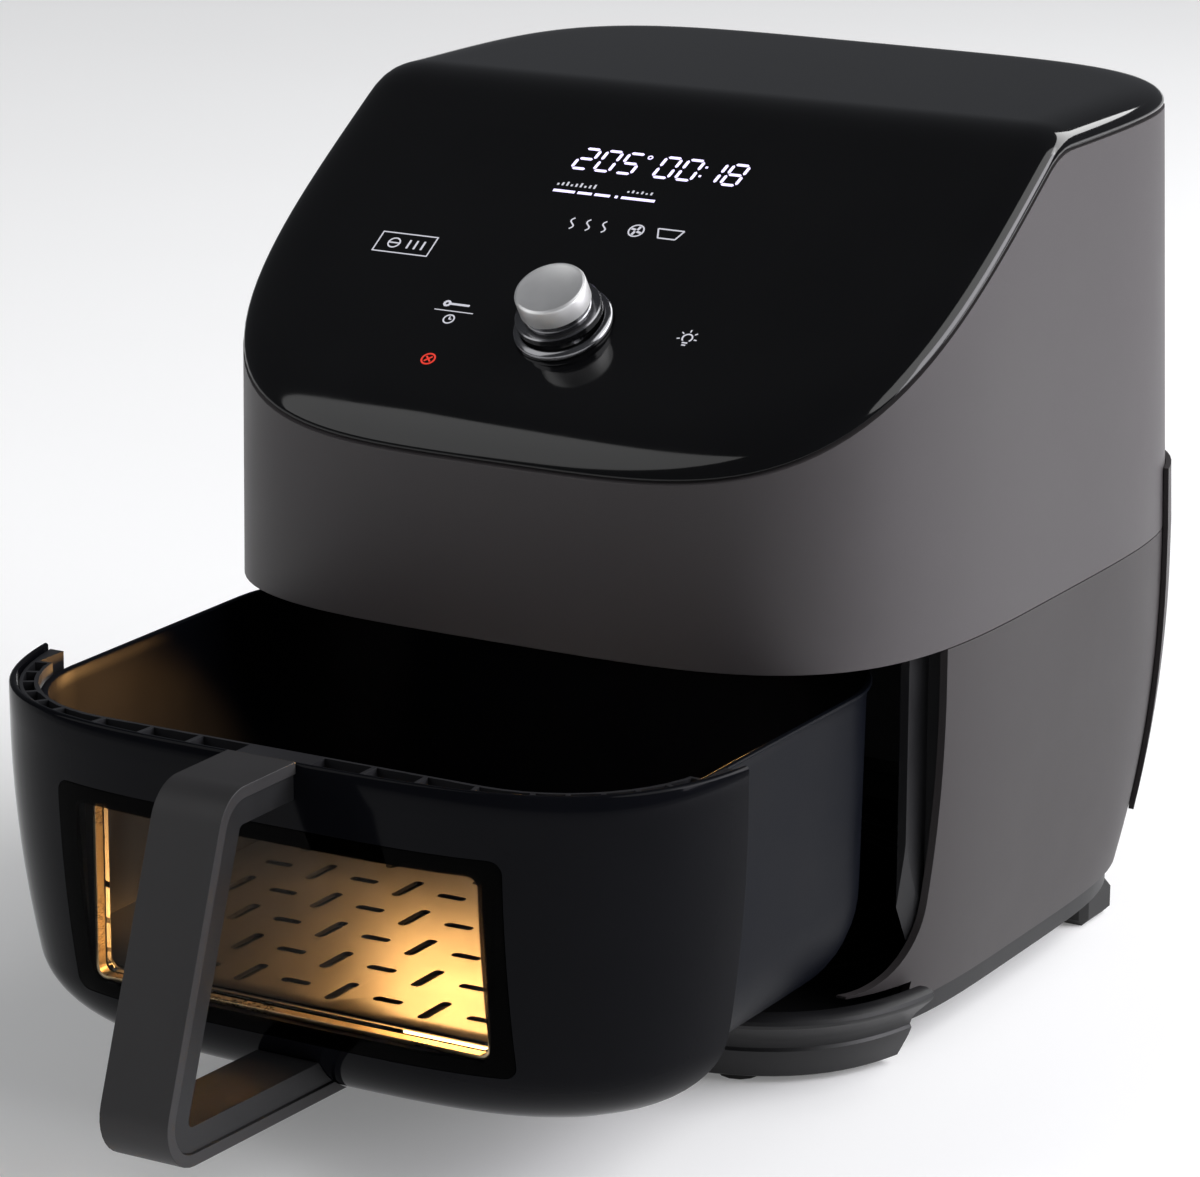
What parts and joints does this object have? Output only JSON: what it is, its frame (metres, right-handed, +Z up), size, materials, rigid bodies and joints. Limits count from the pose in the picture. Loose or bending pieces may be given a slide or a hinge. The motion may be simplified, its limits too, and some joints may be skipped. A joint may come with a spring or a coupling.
{
  "type": "air fryer",
  "caption": "Worktop air fryer with a sloping gloss control panel, a press-and-turn dial and a pull-out basket drawer that has a sight window and a loop handle.",
  "frame": {"origin": "middle of the overall box's footprint, with the drawer open as in the picture, at the height of the worktop", "axes": "+X to the right as seen from the front, +Y to the back (the drawer opens towards -Y), +Z up"},
  "size_m": [0.305, 0.5736, 0.3455],
  "materials": {
    "housing_charcoal": "satin, fine grain",
    "gloss_black": "high gloss",
    "black_plastic": "satin",
    "handle_grey": "matte",
    "rubber_black": "matte",
    "basket_coating": "non-stick coating, satin",
    "steel": "brushed",
    "aluminium": "satin",
    "chrome": "polished",
    "dark_chrome": "polished, smoked",
    "window_metal": "satin",
    "glass_smoked": "smoked, clear",
    "led_white": "diffuse, lit from behind",
    "element_steel": "dull",
    "ceramic_white": "glazed ceramic",
    "circuit_board": "lacquered board"
  },
  "bodies": {
    "housing": {"upper_housing": "housing_charcoal", "lower_housing": "housing_charcoal", "rear_cover": "housing_charcoal", "control_panel": "gloss_black", "front_frame": "black_plastic", "base_pan": "black_plastic", "exhaust_grille": "black_plastic", "encoder_body": "black_plastic", "drawer_switch": "black_plastic", "foot_front_left": "rubber_black", "foot_front_right": "rubber_black", "foot_rear_left": "rubber_black", "foot_rear_right": "rubber_black", "cord_gland": "rubber_black", "rear_screw_1": "steel", "rear_screw_2": "steel", "rear_screw_3": "steel", "rear_screw_4": "steel", "chamber_liner": "steel", "heater_reflector": "steel", "heat_shield": "steel", "element_guard": "steel", "fan_motor": "steel", "motor_bracket": "steel", "temperature_sensor": "steel", "rail_left": "steel", "rail_right": "steel", "dial_bezel": "dark_chrome", "lamp_lens": "glass_smoked", "lamp": "glass_smoked", "led_display": "led_white", "heating_element": "element_steel", "thermal_fuse": "ceramic_white", "display_board": "circuit_board", "power_board": "circuit_board"},
    "drawer": {"basket_pan": "basket_coating", "fascia_skin": "gloss_black", "rim_frame": "black_plastic", "window_outer": "glass_smoked", "window_inner": "glass_smoked", "window_frame": "window_metal", "handle_outer": "handle_grey", "handle_inner": "black_plastic"},
    "crisper": {"crisper_plate": "basket_coating", "plate_bumper_1": "rubber_black", "plate_bumper_2": "rubber_black", "plate_bumper_3": "rubber_black", "plate_bumper_4": "rubber_black"},
    "fan": {"motor_shaft": "steel", "convection_fan": "aluminium", "cooling_fan": "black_plastic"},
    "dial_rotor": {"encoder_rotor": "black_plastic"},
    "dial": {"dial_body": "chrome", "dial_cap": "aluminium", "encoder_shaft": "steel"}
  },
  "joints": [
    {"name": "drawer_slide", "type": "slide", "parent": "housing", "child": "drawer", "axis": [0, -1, 0], "range_m": [-0.1522, 0.1]},
    {"name": "crisper_lift", "type": "slide", "parent": "drawer", "child": "crisper", "axis": [0, 0, 1], "range_m": [0, 0.09]},
    {"name": "fan_spin", "type": "hinge", "parent": "housing", "child": "fan", "pos_m": [0, 0.08179, 0.2], "axis": [0, 0, 1], "continuous": true},
    {"name": "dial_turn", "type": "hinge", "parent": "housing", "child": "dial_rotor", "pos_m": [0, -0.00221, 0.27478], "axis": [0, -0.5417, 0.8406], "continuous": true},
    {"name": "dial_press", "type": "slide", "parent": "dial_rotor", "child": "dial", "axis": [0, -0.5417, 0.8406], "range_m": [-0.0008, 0], "stiffness_N_per_m": 1000, "springref_m": 0.003}
  ]
}
